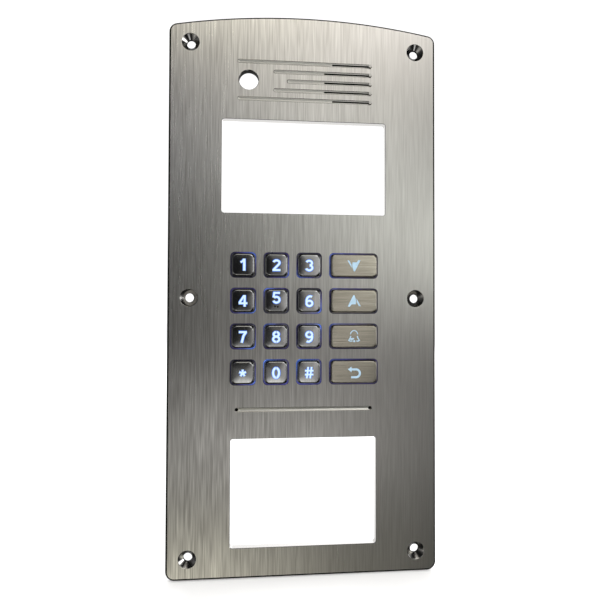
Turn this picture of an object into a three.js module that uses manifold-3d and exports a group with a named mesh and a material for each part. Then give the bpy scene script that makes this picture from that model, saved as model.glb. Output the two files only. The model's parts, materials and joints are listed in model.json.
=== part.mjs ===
// Door intercom panel: a brushed metal faceplate with an arched top, a backlit sixteen-key keypad
// and a small loudspeaker behind a slotted grille.
//
// Millimetres. +X is to the right seen from the street, +Z is up and +Y points into the wall.
// The origin is the middle of the six-screw pattern, on the rear face of the faceplate.

import * as THREE from 'three';
import { mergeVertices } from 'three/addons/utils/BufferGeometryUtils.js';
import Module from 'manifold-3d';

const wasm = await Module();
wasm.setup();

// ---- Faceplate -------------------------------------------------------------------------------

const PANEL_WIDTH = 155;
const PANEL_BOTTOM = -158.2;
const PANEL_TOP = 163.1;
const PANEL_ARCH_RISE = 7.3;
const PANEL_CORNER_RADIUS = 5;
const PANEL_THICKNESS = 4;
const PANEL_EDGE_ROUND = 1.2;
const FRONT = -PANEL_THICKNESS;
const REAR = 0;

const DISPLAY_WINDOW = { x: 0, z: 75.6, width: 95, height: 54, radius: 1.5 };
const READER_WINDOW = { x: 0, z: -110.6, width: 83.8, height: 61.3, radius: 1.5 };

const SCREW_X = 65.4;
const SCREW_ROWS = [145.8, 0, -146.4];
const SCREW_HOLE_RADIUS = 2.5;
const COUNTERSINK_RADIUS = 5;
const COUNTERSINK_DEPTH = COUNTERSINK_RADIUS - SCREW_HOLE_RADIUS;

const CAMERA_X = -32.4;
const CAMERA_Z = 125.4;
const CAMERA_HOLE_RADIUS = 5.6;

// ---- Engraved lines and loudspeaker slots ----------------------------------------------------

const GROOVE_DEPTH = 0.5;
const GROOVE_WIDTH = 2.2;
const GROOVE_SIDE_DEPTH = 0.28;
const GROOVE_FLOOR_WIDTH = 1.9;
const END_HOLE_RADIUS = 0.9;
const END_HOLE_DEPTH = 2.2;
const GROOVE_RIGHT = 38.3;
const GRILLE_Z = 125.4;
const GRILLE_PITCH = 5.38;
const LOWER_GROOVE_Z = -63.5;
const GRILLE_GROOVE_STARTS = [-37.6, -17, -9.3, -17, -37.6];
const SLOT_STARTS = [16.4, 11.7, 11.7, 11.7, 16.4];
const SLOT_WIDTH = 0.9;

// ---- Keys ------------------------------------------------------------------------------------

const KEY_PITCH_X = 18.86;
const KEY_PITCH_Z = 20.4;
const FIRST_COLUMN_X = -34.96;
const FIRST_ROW_Z = 18.9;
const WIDE_COLUMN_X = 28.7;
const CAP_SIZE = 13.2;
const WIDE_CAP_WIDTH = 27;
const CAP_CORNER_RADIUS = 2.3;
const CAP_EDGE_ROUND = 1.2;
const CAP_PROUD = 1.8;
const CAP_TOP_WALL = 1.4;
const CAP_SKIRT_WALL = 1.7;
const CAP_SKIRT_END = 2.2;
const CAP_GAP = 0.65;
const FLANGE_REACH = 1.45;
const FLANGE_FRONT = 0.3;
const FLANGE_REAR = 1.5;
const POCKET_GAP = 0.5;
const LIGHT_GUIDE_GAP = 0.2;

const KEY_ROWS = [
  ['1', '2', '3', 'down'],
  ['4', '5', '6', 'up'],
  ['7', '8', '9', 'bell'],
  ['star', '0', 'hash', 'return'],
];

// ---- Keypad module, stacked behind the faceplate ---------------------------------------------

const MODULE_WIDTH = 100;
const MODULE_HEIGHT = 92;
const MODULE_Z = FIRST_ROW_Z - 1.5 * KEY_PITCH_Z;
const MODULE_CORNER_RADIUS = 3;
const GASKET_REAR = 0.8;
const LATTICE_REAR = 4.6;
const MAT_REAR = 5.6;
const BOARD_REAR = 7.2;
const BOARD_WIDTH = 87;
const BOARD_HEIGHT = 79;
const BOARD_GAP = 0.5;
const MAT_INSET = 1;
const DOME_TOP = 2.9;
const DOME_TOP_RADIUS = 2.6;
const DOME_BASE_RADIUS = 4;
const LED_DROP = 5.6;
const LED_SIZE = { width: 1.6, height: 0.8, depth: 0.7 };
const LED_WINDOW = { width: 3, height: 1.8 };
const CONTROLLER = { x: -18, z: -22, size: 10, depth: 1.4 };

const COVER_FLANGE = 1.6;
const COVER_WALL = 1.6;
const COVER_BOX_WIDTH = 84;
const COVER_BOX_HEIGHT = 76;
const COVER_REAR = 15.2;

const HEADER = { x: 22, z: -34, width: 20.3, height: 8.9, wall: 1.2, base: 2.3, rear: 16.4 };
const HEADER_CLEARANCE = 1;

// ---- Welded studs and their nuts -------------------------------------------------------------

const STUD_RADIUS = 1.5;
const STUD_FLANGE_RADIUS = 2;
const STUD_FLANGE_DEPTH = 0.7;
const STUD_HOLE_RADIUS = 1.8;
const KEYPAD_STUD_X = 46.4;
const KEYPAD_STUD_Z = 42.4;
const KEYPAD_STUD_END = 13;

const NUT_WIDTH = 5.5;
const NUT_BORE_RADIUS = 1.7;
const NUT_FLANGE_RADIUS = 3.5;
const NUT_FLANGE_DEPTH = 0.8;
const NUT_DEPTH = 2.8;

// ---- Loudspeaker -----------------------------------------------------------------------------

const SPEAKER_X = 25;
const SPEAKER_Z = GRILLE_Z;
const SPEAKER_RADIUS = 20;
const SPEAKER_SEAL_INNER = 17.5;
const SPEAKER_SEAL_REAR = 1;
const SPEAKER_RIM_REAR = 2.2;
const BASKET_REAR = 8;
const BASKET_SHEET = 0.8;
const BASKET_MOUTH_RADIUS = 15.8;
const BASKET_FLOOR_RADIUS = 11.4;
const MAGNET_RADIUS = 11;
const MAGNET_REAR = 13;
const CLAMP_REAR = 3.4;
const CLAMP_RADIUS = 21.5;
const CLAMP_HOLE_RADIUS = 17;
const CLAMP_LUG_LENGTH = 56;
const CLAMP_LUG_HEIGHT = 9;
const SPEAKER_STUD_X = 24;
const SPEAKER_STUD_END = 7;

// ---- Solids: booleans, and slabs across the panel's depth ------------------------------------

function toSolid(geometry) {
  const bare = geometry.clone();
  bare.deleteAttribute('normal');
  bare.deleteAttribute('uv');
  const merged = mergeVertices(bare, 1e-5);
  return new wasm.Manifold(new wasm.Mesh({
    numProp: 3,
    vertProperties: new Float32Array(merged.attributes.position.array),
    triVerts: new Uint32Array(merged.index.array),
  }));
}

function toGeometry(solid) {
  const mesh = solid.getMesh();
  const geometry = new THREE.BufferGeometry();
  geometry.setAttribute('position', new THREE.BufferAttribute(mesh.vertProperties, 3));
  geometry.setIndex(new THREE.BufferAttribute(mesh.triVerts, 1));
  geometry.computeVertexNormals();
  return geometry;
}

// Points along an arc, both ends included, in the panel's own X-Z plane.
function arc(x, z, radius, from, to, steps) {
  const points = [];
  for (let i = 0; i <= steps; i += 1) {
    const angle = from + ((to - from) * i) / steps;
    points.push(new THREE.Vector2(x + radius * Math.cos(angle), z + radius * Math.sin(angle)));
  }
  return points;
}

function roundedRectangle({ x = 0, z = 0, width, height, radius, steps = 3 }) {
  const right = width / 2 - radius;
  const top = height / 2 - radius;
  const quarter = Math.PI / 2;
  return new THREE.Shape([
    ...arc(x + right, z + top, radius, 0, quarter, steps),
    ...arc(x - right, z + top, radius, quarter, 2 * quarter, steps),
    ...arc(x - right, z - top, radius, 2 * quarter, 3 * quarter, steps),
    ...arc(x + right, z - top, radius, 3 * quarter, 4 * quarter, steps),
  ]);
}

// A shape drawn in X-Z, made solid from depth `front` to depth `rear` along Y.
function slab(shape, front, rear) {
  const geometry = new THREE.ExtrudeGeometry(shape, { depth: rear - front, bevelEnabled: false });
  geometry.rotateX(Math.PI / 2);
  geometry.translate(0, rear, 0);
  return toSolid(geometry);
}

// The same, with the front edge rounded over.
function slabWithRoundedFront(shape, front, rear, round, steps) {
  const geometry = new THREE.ExtrudeGeometry(shape, {
    depth: rear - front,
    bevelEnabled: true,
    bevelThickness: round,
    bevelSize: round,
    bevelOffset: -round,
    bevelSegments: steps,
  });
  geometry.rotateX(Math.PI / 2);
  geometry.translate(0, rear + round, 0);
  const size = 2 * PANEL_TOP;
  const behind = new THREE.BoxGeometry(2 * size, size, 2 * size);
  behind.translate(0, rear + size / 2, 0);
  return toSolid(geometry).subtract(toSolid(behind));
}

function box(x, z, width, height, front, rear) {
  const geometry = new THREE.BoxGeometry(width, rear - front, height);
  geometry.translate(x, (front + rear) / 2, z);
  return toSolid(geometry);
}

// A round bar or cone along Y.
function round(x, z, radius, front, rear, steps = 16, rearRadius = radius) {
  const geometry = new THREE.CylinderGeometry(rearRadius, radius, rear - front, steps);
  geometry.translate(x, (front + rear) / 2, z);
  return toSolid(geometry);
}

// A profile of [radius, depth] pairs turned about an axis along Y.
function turned(x, z, profile, steps) {
  const points = profile.map(([radius, depth]) => new THREE.Vector2(radius, depth));
  const geometry = new THREE.LatheGeometry(points, steps);
  geometry.translate(x, 0, z);
  return toSolid(geometry);
}

function joined(solids) {
  return solids.reduce((sum, solid) => sum.add(solid));
}

// ---- The keys' grid --------------------------------------------------------------------------

function keyPlaces() {
  const places = [];
  KEY_ROWS.forEach((row, rowIndex) => {
    row.forEach((label, column) => {
      const wide = column === 3;
      places.push({
        label,
        x: wide ? WIDE_COLUMN_X : FIRST_COLUMN_X + column * KEY_PITCH_X,
        z: FIRST_ROW_Z - rowIndex * KEY_PITCH_Z,
        width: wide ? WIDE_CAP_WIDTH : CAP_SIZE,
      });
    });
  });
  return places;
}

// A rounded rectangle round a key, `grow` larger than its cap on every side.
function keyOutline(key, grow, steps = 3) {
  return roundedRectangle({
    x: key.x,
    z: key.z,
    width: key.width + 2 * grow,
    height: CAP_SIZE + 2 * grow,
    radius: CAP_CORNER_RADIUS + Math.max(0, grow) / 2,
    steps,
  });
}

function corners(x, z, reachX, reachZ) {
  return [
    { x: x - reachX, z: z + reachZ },
    { x: x + reachX, z: z + reachZ },
    { x: x - reachX, z: z - reachZ },
    { x: x + reachX, z: z - reachZ },
  ];
}

function keypadStuds() {
  return corners(0, MODULE_Z, KEYPAD_STUD_X, KEYPAD_STUD_Z);
}

function speakerStuds() {
  return [-1, 1].map((side) => ({ x: SPEAKER_X + side * SPEAKER_STUD_X, z: SPEAKER_Z }));
}

// ---- Faceplate -------------------------------------------------------------------------------

function panelOutline() {
  const half = PANEL_WIDTH / 2;
  const radius = PANEL_CORNER_RADIUS;
  const archRadius = half ** 2 / (2 * PANEL_ARCH_RISE) + PANEL_ARCH_RISE / 2;
  const archZ = PANEL_TOP - archRadius;
  const cornerX = half - radius;
  const cornerZ = archZ + Math.sqrt((archRadius - radius) ** 2 - cornerX ** 2);
  const lean = Math.atan2(cornerZ - archZ, cornerX);
  const bottom = PANEL_BOTTOM + radius;
  const steps = 5;
  return new THREE.Shape([
    ...arc(cornerX, bottom, radius, -Math.PI / 2, 0, steps),
    ...arc(cornerX, cornerZ, radius, 0, lean, steps),
    ...arc(0, archZ, archRadius, lean, Math.PI - lean, 24).slice(1, -1),
    ...arc(-cornerX, cornerZ, radius, Math.PI - lean, Math.PI, steps),
    ...arc(-cornerX, bottom, radius, Math.PI, 1.5 * Math.PI, steps),
  ]);
}

// The half section of an engraving cutter with steep sides and a blunt point, from as far out as
// it goes in.
function cutterProfile() {
  const floor = GROOVE_FLOOR_WIDTH / 2;
  return [
    [0, FRONT - GROOVE_SIDE_DEPTH],
    [GROOVE_WIDTH - floor, FRONT - GROOVE_SIDE_DEPTH],
    [floor, FRONT + GROOVE_SIDE_DEPTH],
    [0, FRONT + GROOVE_DEPTH],
  ];
}

function groove(start, end, z) {
  const half = cutterProfile();
  const section = [
    ...half.slice(1).map(([across, depth]) => new THREE.Vector2(across, depth)),
    ...half.slice(1, -1).reverse().map(([across, depth]) => new THREE.Vector2(-across, depth)),
  ];
  const run = new THREE.ExtrudeGeometry(new THREE.Shape(section), {
    depth: end - start,
    bevelEnabled: false,
  });
  run.rotateY(Math.PI / 2);
  run.translate(start, 0, z);
  return joined([toSolid(run), turned(start, z, half, 16), turned(end, z, half, 16)]);
}

function endHole(x, z) {
  return round(x, z, END_HOLE_RADIUS, FRONT - 1, FRONT + END_HOLE_DEPTH, 16);
}

function speakerSlot(start, z) {
  const radius = SLOT_WIDTH / 2;
  const shape = new THREE.Shape([
    ...arc(GROOVE_RIGHT, z, radius, -Math.PI / 2, Math.PI / 2, 3),
    ...arc(start, z, radius, Math.PI / 2, 1.5 * Math.PI, 3),
  ]);
  return slab(shape, FRONT - 1, REAR + 1);
}

function screwHole(x, z) {
  const clear = 1;
  const hole = round(x, z, SCREW_HOLE_RADIUS, FRONT - clear, REAR + clear, 24);
  const sink = round(x, z, COUNTERSINK_RADIUS + clear, FRONT - clear,
    FRONT + COUNTERSINK_DEPTH, 24, SCREW_HOLE_RADIUS);
  return hole.add(sink);
}

// A threaded stud whose flange is welded to the rear face.
function weldedStud({ x, z }, end) {
  const flange = round(x, z, STUD_FLANGE_RADIUS, REAR, STUD_FLANGE_DEPTH, 12);
  return flange.add(round(x, z, STUD_RADIUS, REAR, end, 12));
}

function frontPanel() {
  const plate = slabWithRoundedFront(panelOutline(), FRONT, REAR, PANEL_EDGE_ROUND, 3);
  const cuts = [];
  for (const window of [DISPLAY_WINDOW, READER_WINDOW]) {
    cuts.push(slab(roundedRectangle(window), FRONT - 1, REAR + 1));
  }
  for (const key of keyPlaces()) {
    cuts.push(slab(keyOutline(key, CAP_GAP), FRONT - 1, REAR + 1));
  }
  for (const z of SCREW_ROWS) {
    cuts.push(screwHole(-SCREW_X, z), screwHole(SCREW_X, z));
  }
  cuts.push(round(CAMERA_X, CAMERA_Z, CAMERA_HOLE_RADIUS, FRONT - 1, REAR + 1, 32));
  GRILLE_GROOVE_STARTS.forEach((start, line) => {
    const z = GRILLE_Z + (2 - line) * GRILLE_PITCH;
    cuts.push(groove(start, GROOVE_RIGHT, z), speakerSlot(SLOT_STARTS[line], z));
    cuts.push(endHole(GROOVE_RIGHT, z));
  });
  cuts.push(groove(-GROOVE_RIGHT, GROOVE_RIGHT, LOWER_GROOVE_Z));
  cuts.push(endHole(-GROOVE_RIGHT, LOWER_GROOVE_Z), endHole(GROOVE_RIGHT, LOWER_GROOVE_Z));

  return plate.subtract(joined(cuts));
}

// ---- Keys ------------------------------------------------------------------------------------

function keyCap(key) {
  const top = FRONT - CAP_PROUD;
  const body = slabWithRoundedFront(keyOutline(key, 0), top, CAP_SKIRT_END, CAP_EDGE_ROUND, 2);
  const flange = slab(keyOutline(key, FLANGE_REACH, 2), FLANGE_FRONT, FLANGE_REAR);
  const hollow = box(key.x, key.z, key.width - 2 * CAP_SKIRT_WALL, CAP_SIZE - 2 * CAP_SKIRT_WALL,
    top + CAP_TOP_WALL, CAP_SKIRT_END + 1);
  return body.add(flange).subtract(hollow);
}

function lightGuide(key) {
  const inset = 2 * (CAP_SKIRT_WALL + LIGHT_GUIDE_GAP);
  const front = FRONT - CAP_PROUD + CAP_TOP_WALL;
  return box(key.x, key.z, key.width - inset, CAP_SIZE - inset, front, DOME_TOP);
}

// ---- Keypad module ---------------------------------------------------------------------------

function moduleOutline(width, height, radius) {
  return roundedRectangle({ z: MODULE_Z, width, height, radius });
}

function studHoles(studs, front, rear, radius = STUD_HOLE_RADIUS) {
  return studs.map(({ x, z }) => round(x, z, radius, front - 1, rear + 1, 12));
}

function trayOutline() {
  return moduleOutline(BOARD_WIDTH + 2 * BOARD_GAP, BOARD_HEIGHT + 2 * BOARD_GAP, 1);
}

function keypadGasket() {
  const sheet = slab(moduleOutline(MODULE_WIDTH, MODULE_HEIGHT, MODULE_CORNER_RADIUS),
    REAR, GASKET_REAR);
  const middle = slab(trayOutline(), REAR - 1, GASKET_REAR + 1);
  const holes = studHoles(keypadStuds(), REAR, GASKET_REAR, STUD_FLANGE_RADIUS + 0.3);
  return sheet.subtract(joined([middle, ...holes]));
}

function keypadFrame() {
  const block = slab(moduleOutline(MODULE_WIDTH, MODULE_HEIGHT, MODULE_CORNER_RADIUS),
    GASKET_REAR, BOARD_REAR);
  const tray = slab(trayOutline(), LATTICE_REAR, BOARD_REAR + 1);
  const pockets = keyPlaces().map((key) => (
    slab(keyOutline(key, FLANGE_REACH + POCKET_GAP, 2), GASKET_REAR - 1, LATTICE_REAR + 1)));
  return block.subtract(joined([
    tray,
    ...pockets,
    ...studHoles(keypadStuds(), GASKET_REAR, BOARD_REAR),
  ]));
}

function keypadMat() {
  const sheet = slab(
    moduleOutline(BOARD_WIDTH - 2 * MAT_INSET, BOARD_HEIGHT - 2 * MAT_INSET, 1),
    LATTICE_REAR, MAT_REAR);
  const domes = keyPlaces().map((key) => (
    round(key.x, key.z, DOME_TOP_RADIUS, DOME_TOP, LATTICE_REAR, 12, DOME_BASE_RADIUS)));
  const windows = keyPlaces().map((key) => (
    box(key.x, key.z - LED_DROP, LED_WINDOW.width, LED_WINDOW.height,
      LATTICE_REAR - 1, MAT_REAR + 1)));
  return joined([sheet, ...domes]).subtract(joined(windows));
}

function keypadBoard() {
  const board = slab(moduleOutline(BOARD_WIDTH, BOARD_HEIGHT, 1), MAT_REAR, BOARD_REAR);
  const lamps = keyPlaces().map((key) => (
    box(key.x, key.z - LED_DROP, LED_SIZE.width, LED_SIZE.height,
      MAT_REAR - LED_SIZE.depth, MAT_REAR + 0.1)));
  return joined([board, ...lamps]);
}

function keypadController() {
  return box(CONTROLLER.x, CONTROLLER.z, CONTROLLER.size, CONTROLLER.size,
    BOARD_REAR, BOARD_REAR + CONTROLLER.depth);
}

function keypadHeader() {
  const { x, z, width, height, wall, base, rear } = HEADER;
  const shroud = box(x, z, width, height, BOARD_REAR, rear);
  const socket = box(x, z, width - 2 * wall, height - 2 * wall, BOARD_REAR + base, rear + 1);
  return shroud.subtract(socket);
}

function keypadCover() {
  const flangeRear = BOARD_REAR + COVER_FLANGE;
  const flange = slab(moduleOutline(MODULE_WIDTH, MODULE_HEIGHT, MODULE_CORNER_RADIUS),
    BOARD_REAR, flangeRear);
  const raised = slab(moduleOutline(COVER_BOX_WIDTH, COVER_BOX_HEIGHT, 4), BOARD_REAR, COVER_REAR);
  const inside = slab(
    moduleOutline(COVER_BOX_WIDTH - 2 * COVER_WALL, COVER_BOX_HEIGHT - 2 * COVER_WALL, 3),
    BOARD_REAR - 1, COVER_REAR - COVER_WALL);
  const cableHole = box(HEADER.x, HEADER.z, HEADER.width + 2 * HEADER_CLEARANCE,
    HEADER.height + 2 * HEADER_CLEARANCE, BOARD_REAR, COVER_REAR + 1);
  return flange.add(raised).subtract(joined([
    inside,
    cableHole,
    ...studHoles(keypadStuds(), BOARD_REAR, flangeRear),
  ]));
}

function flangeNut({ x, z }, front) {
  const hexagon = new THREE.Shape(arc(x, z, NUT_WIDTH / Math.sqrt(3), 0, 2 * Math.PI, 6).slice(1));
  return slab(hexagon, front, front + NUT_DEPTH)
    .add(round(x, z, NUT_FLANGE_RADIUS, front, front + NUT_FLANGE_DEPTH, 16))
    .subtract(round(x, z, NUT_BORE_RADIUS, front - 1, front + NUT_DEPTH + 1, 12));
}

// ---- Loudspeaker -----------------------------------------------------------------------------

function speakerSeal() {
  return round(SPEAKER_X, SPEAKER_Z, SPEAKER_RADIUS, REAR, SPEAKER_SEAL_REAR, 24)
    .subtract(round(SPEAKER_X, SPEAKER_Z, SPEAKER_SEAL_INNER, REAR - 1, SPEAKER_SEAL_REAR + 1, 24));
}

function speakerBasket() {
  return turned(SPEAKER_X, SPEAKER_Z, [
    [0, BASKET_REAR - BASKET_SHEET],
    [BASKET_FLOOR_RADIUS, BASKET_REAR - BASKET_SHEET],
    [BASKET_MOUTH_RADIUS, SPEAKER_SEAL_REAR],
    [SPEAKER_RADIUS, SPEAKER_SEAL_REAR],
    [SPEAKER_RADIUS, SPEAKER_RIM_REAR],
    [BASKET_MOUTH_RADIUS + BASKET_SHEET / 2, SPEAKER_RIM_REAR],
    [BASKET_FLOOR_RADIUS + BASKET_SHEET, BASKET_REAR],
    [0, BASKET_REAR],
  ], 24);
}

function speakerCone() {
  const rim = SPEAKER_SEAL_INNER - 0.3;
  return turned(SPEAKER_X, SPEAKER_Z, [
    [0, 3.2],
    [4, 4.4],
    [BASKET_MOUTH_RADIUS - 0.8, SPEAKER_SEAL_REAR - 0.4],
    [rim, SPEAKER_SEAL_REAR - 0.4],
    [rim, SPEAKER_SEAL_REAR],
    [BASKET_MOUTH_RADIUS - 0.6, SPEAKER_SEAL_REAR],
    [4, 4.9],
    [0, 3.7],
  ], 24);
}

function speakerMagnet() {
  return round(SPEAKER_X, SPEAKER_Z, MAGNET_RADIUS, BASKET_REAR, MAGNET_REAR, 24);
}

function speakerClamp() {
  const lugs = roundedRectangle({
    x: SPEAKER_X,
    z: SPEAKER_Z,
    width: CLAMP_LUG_LENGTH,
    height: CLAMP_LUG_HEIGHT,
    radius: 2,
  });
  return round(SPEAKER_X, SPEAKER_Z, CLAMP_RADIUS, SPEAKER_RIM_REAR, CLAMP_REAR, 32)
    .add(slab(lugs, SPEAKER_RIM_REAR, CLAMP_REAR))
    .subtract(joined([
      round(SPEAKER_X, SPEAKER_Z, CLAMP_HOLE_RADIUS, SPEAKER_RIM_REAR - 1, CLAMP_REAR + 1, 32),
      ...studHoles(speakerStuds(), SPEAKER_RIM_REAR, CLAMP_REAR),
    ]));
}

// ---- Assembly --------------------------------------------------------------------------------

const finish = (color, roughness, metalness, more = {}) => (
  new THREE.MeshStandardMaterial({ color, roughness, metalness, ...more }));

const BRUSHED_STEEL = finish(0xa9a59c, 0.38, 1);
const DARK_METAL = finish(0x55575a, 0.3, 1);
const GOLDEN_METAL = finish(0x8d8473, 0.34, 1);
const LIT_PLASTIC = finish(0xd8f0ff, 0.4, 0, { emissive: 0x9fdcff });
const BLACK_RUBBER = finish(0x151618, 0.85, 0);
const WHITE_RUBBER = finish(0xd9dcdd, 0.7, 0);
const BLACK_PLASTIC = finish(0x1d1e20, 0.55, 0);
const GREEN_BOARD = finish(0x14532d, 0.4, 0);
const ZINC = finish(0xbfc2c4, 0.35, 1);
const FERRITE = finish(0x2b2b2d, 0.6, 0.2);
const CONE_FILM = finish(0x232326, 0.8, 0);

const panel = new THREE.Group();

function place(name, solid, material) {
  const mesh = new THREE.Mesh(toGeometry(solid), material);
  mesh.name = name;
  panel.add(mesh);
}

place('front_panel', frontPanel(), BRUSHED_STEEL);

for (const key of keyPlaces()) {
  place(`key_${key.label}`, keyCap(key), key.width === CAP_SIZE ? DARK_METAL : GOLDEN_METAL);
  place(`light_guide_${key.label}`, lightGuide(key), LIT_PLASTIC);
}

place('keypad_gasket', keypadGasket(), BLACK_RUBBER);
place('keypad_frame', keypadFrame(), BLACK_PLASTIC);
place('keypad_mat', keypadMat(), WHITE_RUBBER);
place('keypad_board', keypadBoard(), GREEN_BOARD);
place('keypad_controller', keypadController(), BLACK_PLASTIC);
place('keypad_header', keypadHeader(), BLACK_PLASTIC);
place('keypad_cover', keypadCover(), ZINC);
keypadStuds().forEach((stud, index) => {
  place(`keypad_stud_${index + 1}`, weldedStud(stud, KEYPAD_STUD_END), ZINC);
  place(`keypad_nut_${index + 1}`, flangeNut(stud, BOARD_REAR + COVER_FLANGE), ZINC);
});

place('speaker_seal', speakerSeal(), BLACK_RUBBER);
place('speaker_basket', speakerBasket(), ZINC);
place('speaker_cone', speakerCone(), CONE_FILM);
place('speaker_magnet', speakerMagnet(), FERRITE);
place('speaker_clamp', speakerClamp(), ZINC);
speakerStuds().forEach((stud, index) => {
  place(`speaker_stud_${index + 1}`, weldedStud(stud, SPEAKER_STUD_END), ZINC);
  place(`speaker_nut_${index + 1}`, flangeNut(stud, CLAMP_REAR), ZINC);
});

export default panel;
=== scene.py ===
"""Door intercom panel: the looks of a brushed faceplate with a backlit keypad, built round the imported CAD."""

import json
import math

import bpy
import bmesh
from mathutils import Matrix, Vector

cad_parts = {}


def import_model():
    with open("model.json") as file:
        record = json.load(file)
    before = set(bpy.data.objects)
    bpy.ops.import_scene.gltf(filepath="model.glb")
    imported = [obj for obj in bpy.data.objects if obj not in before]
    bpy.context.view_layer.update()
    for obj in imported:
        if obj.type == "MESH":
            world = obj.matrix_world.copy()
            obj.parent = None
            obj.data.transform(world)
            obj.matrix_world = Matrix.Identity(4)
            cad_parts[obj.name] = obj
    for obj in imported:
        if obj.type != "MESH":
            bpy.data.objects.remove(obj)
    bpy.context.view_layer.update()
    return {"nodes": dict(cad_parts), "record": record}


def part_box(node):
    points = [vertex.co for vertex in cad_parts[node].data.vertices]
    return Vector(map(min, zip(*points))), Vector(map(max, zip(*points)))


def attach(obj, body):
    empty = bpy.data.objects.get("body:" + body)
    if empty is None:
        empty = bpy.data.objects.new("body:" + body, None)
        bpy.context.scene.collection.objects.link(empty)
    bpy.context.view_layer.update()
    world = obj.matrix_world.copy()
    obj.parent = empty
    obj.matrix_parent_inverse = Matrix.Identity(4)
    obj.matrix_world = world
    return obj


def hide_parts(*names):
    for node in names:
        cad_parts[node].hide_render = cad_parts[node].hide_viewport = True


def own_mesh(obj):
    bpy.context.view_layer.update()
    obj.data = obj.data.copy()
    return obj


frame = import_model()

MM = 0.001
MICRON = 0.000001
ROOT = "panel"

# ---- Sizes in millimetres, taken from the CAD frame where it has them ----


def mm_box(node):
    """A CAD node's lowest and highest corner, in millimetres."""
    low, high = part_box(node)
    return low / MM, high / MM


def opening(name):
    """The lowest and highest corner of a stated opening, in millimetres."""
    box = next(o["box_m"] for o in frame["record"]["physics"]["openings"] if o["name"] == name)
    return Vector(box[0]) / MM, Vector(box[1]) / MM


def middle(low, high):
    """X and Z of the middle of a box."""
    return (low.x + high.x) / 2, (low.z + high.z) / 2


PLATE_LOW, PLATE_HIGH = mm_box("front_panel")
FRONT, REAR = PLATE_LOW.y, PLATE_HIGH.y
HALF_WIDTH = PLATE_HIGH.x
BOTTOM, TOP = PLATE_LOW.z, PLATE_HIGH.z
ARCH_RISE = 7.3
PLATE_CORNER = 5.0
PLATE_ROUND = 1.2
BROKEN_EDGE = 0.15
WINDOW_CORNER = 1.5
WINDOW_MARGIN = 0.5
WINDOW_EDGE = 0.2

SCREWS = [(side * 65.4, z) for z in (145.8, 0.0, -146.4) for side in (-1, 1)]
SCREW_HOLE = 2.5
COUNTERSINK = 5.0

GRILLE_Z = middle(*mm_box("speaker_seal"))[1]
CAMERA_X = middle(*opening("camera_hole"))[0]
CAMERA_HOLE = 5.6
CAMERA_EDGE = 0.3

GROOVE_DEPTH = 0.5
GROOVE_HALF_WIDTH = 1.1
GROOVE_FLOOR_HALF_WIDTH = 0.95
GROOVE_SIDE_DEPTH = 0.28
END_HOLE = 0.9
END_HOLE_DEPTH = 2.2
GROOVE_RIGHT = 38.3
GRILLE_PITCH = 5.38
GRILLE_LINES = [GRILLE_Z + (2 - line) * GRILLE_PITCH for line in range(5)]
GRILLE_GROOVE_STARTS = (-37.6, -17.0, -9.3, -17.0, -37.6)
SLOT_STARTS = (16.4, 11.7, 11.7, 11.7, 16.4)
SLOT_WIDTH = 0.9
LOWER_GROOVE_Z = -63.5

SMALL_KEYS = ("1", "2", "3", "4", "5", "6", "7", "8", "9", "star", "0", "hash")
WIDE_KEYS = ("down", "up", "bell", "return")
KEYS = SMALL_KEYS + WIDE_KEYS
KEY_HOLE_CORNER = 2.5
CAP_GAP = 0.65
CAP_SKIRT_WALL = 1.7
CAP_TOP_WALL = 1.4
FLANGE_REACH = 1.45
FLANGE_CORNER = 2.9
FLANGE_FRONT, FLANGE_REAR = 0.3, 1.5

STUD_RADIUS = 1.5
STUD_FLANGE = 2.0
STUD_CLEARANCE = 1.8
THREAD_START = 0.75
THREAD_PITCH = 0.5
THREAD_DEPTH = 0.28
SHORT_STUD_END = 8.0
DISPLAY_STUDS, READER_STUDS, CAMERA_STUDS = (54, 36), (50, 25), 14
NUT_WIDTH = 5.5
NUT_DEPTH = 2.8
NUT_BORE = 1.62
COVER_SHEET = 1.6
COVER_SIDE = -8.0
VENT_PITCH = 6.5
MAT_SHEET = 1.0
LAMP_DROP = 5.6
HEADER_WALL, HEADER_BASE, HEADER_PITCH = 1.2, 2.3, 2.54
PIN_HALF_WIDTH = 0.32

# How far a cutter reaches past the surface that it cuts.
PAST = 1.0

# ---- Outlines and mesh building ----


def oval(x, z, across, up, start=0, end=360, steps=20):
    """Points along an ellipse of half-sizes across and up, both ends included; angles in degrees."""
    angles = [math.radians(start + (end - start) * i / steps) for i in range(steps + 1)]
    return [(x + across * math.cos(a), z + up * math.sin(a)) for a in angles]


def arc(x, z, radius, start, end, steps):
    return oval(x, z, radius, radius, start, end, steps)


def circle(x, z, radius, steps):
    return arc(x, z, radius, 0, 360, steps)[:-1]


def turned(x, z, profile, steps):
    """Rings of a turned shape from (radius, depth) pairs."""
    return [(circle(x, z, radius, steps), depth) for radius, depth in profile]


def stadium(x0, x1, z, radius):
    return arc(x1, z, radius, -90, 90, 10) + arc(x0, z, radius, 90, 270, 10)


def rounded(x, z, width, height, radius, steps=8):
    """A rectangle with rounded corners."""
    right, top = width / 2 - radius, height / 2 - radius
    points = []
    for quarter, (side, end) in enumerate(((1, 1), (-1, 1), (-1, -1), (1, -1))):
        points += arc(x + side * right, z + end * top, radius, 90 * quarter, 90 * quarter + 90, steps)
    return points


def centred(low, high, grow, radius, steps=8):
    """A rounded rectangle round a box, larger by grow on every side."""
    width, height = high.x - low.x + 2 * grow, high.z - low.z + 2 * grow
    return rounded(*middle(low, high), width, height, radius, steps)


def boxed(low, high, profile, steps=8):
    """Rings round a box from (growth, corner radius, depth) triples."""
    return [(centred(low, high, grow, radius, steps), depth) for grow, radius, depth in profile]


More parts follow.
